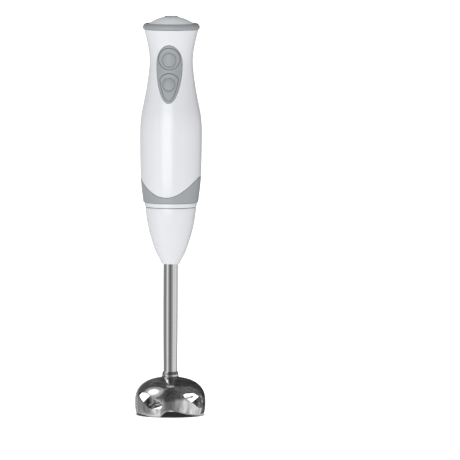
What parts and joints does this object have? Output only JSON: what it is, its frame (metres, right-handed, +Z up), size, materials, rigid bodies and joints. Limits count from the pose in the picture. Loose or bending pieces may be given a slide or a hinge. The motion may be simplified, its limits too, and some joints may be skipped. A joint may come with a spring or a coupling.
{
  "type": "immersion blender",
  "caption": "Hand-held immersion blender: waisted handle with press buttons and domed cap over a twist-off steel leg, whose slotted bell guards a spinning blade.",
  "frame": {"origin": "centre of the bell's rim, on the plane that the bell stands on", "axes": "+Z up along the blender's own axis, from bell to cap; -Y towards the side with the buttons; +X to the right as seen from that side"},
  "size_m": [0.062, 0.062, 0.3509],
  "materials": {
    "white_abs": "glossy moulded ABS",
    "grey_abs": "satin moulded ABS",
    "grey_soft": "satin, slightly soft to the touch",
    "polished_stainless": "polished stainless steel",
    "bright_steel": "ground steel",
    "laminated_iron": "varnished laminations",
    "copper": "enamelled copper wire, or bare copper bars",
    "brass": "pressed sheet",
    "sintered_bronze": "oil-filled sintered bronze",
    "carbon": "matt",
    "rubber": "matt",
    "black_plastic": "matt",
    "acetal": "smooth",
    "nylon": "glass-filled, matt",
    "circuit_board": "solder mask",
    "brown_pvc": "smooth",
    "blue_pvc": "smooth"
  },
  "bodies": {
    "motor_unit": {"lock_ring": "white_abs", "collar": "grey_abs", "front_housing": "white_abs", "rear_housing": "white_abs", "panel_bezel": "grey_soft", "cap": "grey_abs", "cord_gland": "rubber", "cord_clamp_bar": "black_plastic", "cord_clamp_base": "black_plastic", "clamp_screw_left": "bright_steel", "clamp_screw_right": "bright_steel", "switch_board": "circuit_board", "board_top_screw": "bright_steel", "board_foot_screw": "bright_steel", "upper_switch": "black_plastic", "lower_switch": "black_plastic", "upper_button_spring": "bright_steel", "lower_button_spring": "bright_steel", "live_supply_lead": "brown_pvc", "neutral_supply_lead": "blue_pvc", "stator_core": "laminated_iron", "field_coil_front": "copper", "field_coil_rear": "copper", "upper_bracket": "nylon", "lower_bracket": "nylon", "upper_motor_bush": "sintered_bronze", "lower_motor_bush": "sintered_bronze", "motor_screw_front": "bright_steel", "motor_screw_rear": "bright_steel", "motor_mount_ring": "rubber", "brush_box_left": "brass", "brush_box_right": "brass", "carbon_brush_left": "carbon", "carbon_brush_right": "carbon"},
    "upper_button": {"upper_button": "grey_soft", "upper_switch_plunger": "acetal"},
    "lower_button": {"lower_button": "grey_soft", "lower_switch_plunger": "acetal"},
    "rotor": {"armature_shaft": "bright_steel", "armature_core": "laminated_iron", "lower_end_winding": "copper", "upper_end_winding": "copper", "commutator": "copper", "cooling_fan": "black_plastic", "drive_dog": "black_plastic"},
    "shaft_carrier": {"thrust_washer": "acetal"},
    "leg": {"bell": "polished_stainless", "leg_tube": "polished_stainless", "neck_ferrule": "polished_stainless", "leg_foot_bush": "sintered_bronze", "bell_seal": "rubber", "leg_cone": "white_abs", "spigot_o_ring": "rubber", "leg_bearing_plate": "acetal", "leg_top_bush": "sintered_bronze"},
    "blade_shaft": {"drive_shaft": "bright_steel", "shaft_dog": "acetal", "blade": "polished_stainless", "blade_hub": "polished_stainless", "blade_nut": "polished_stainless"}
  },
  "joints": [
    {"name": "upper_button_press", "type": "slide", "parent": "motor_unit", "child": "upper_button", "axis": [0, 1, 0], "range_m": [0, 0.0013], "stiffness_N_per_m": 400, "springref_m": -0.002, "deforming": ["upper_button_spring"]},
    {"name": "lower_button_press", "type": "slide", "parent": "motor_unit", "child": "lower_button", "axis": [0, 1, 0], "range_m": [0, 0.0013], "stiffness_N_per_m": 400, "springref_m": -0.002, "deforming": ["lower_button_spring"]},
    {"name": "rotor_spin", "type": "hinge", "parent": "motor_unit", "child": "rotor", "pos_m": [0, 0, 0.23], "axis": [0, 0, 1], "continuous": true},
    {"name": "leg_drop", "type": "slide", "parent": "motor_unit", "child": "shaft_carrier", "axis": [0, 0, -1], "range_m": [0, 0.0181]},
    {"name": "leg_twist", "type": "hinge", "parent": "shaft_carrier", "child": "leg", "pos_m": [0, 0, 0.188], "axis": [0, 0, -1], "range_deg": [0, 90]},
    {"name": "blade_spin", "type": "hinge", "parent": "shaft_carrier", "child": "blade_shaft", "pos_m": [0, 0, 0.1], "axis": [0, 0, 1], "continuous": true}
  ],
  "couplings": [
    {"joint": "leg_drop", "follows": "leg_twist", "m_per_rad": 0.011459},
    {"joint": "blade_spin", "follows": "rotor_spin", "ratio": 1}
  ]
}
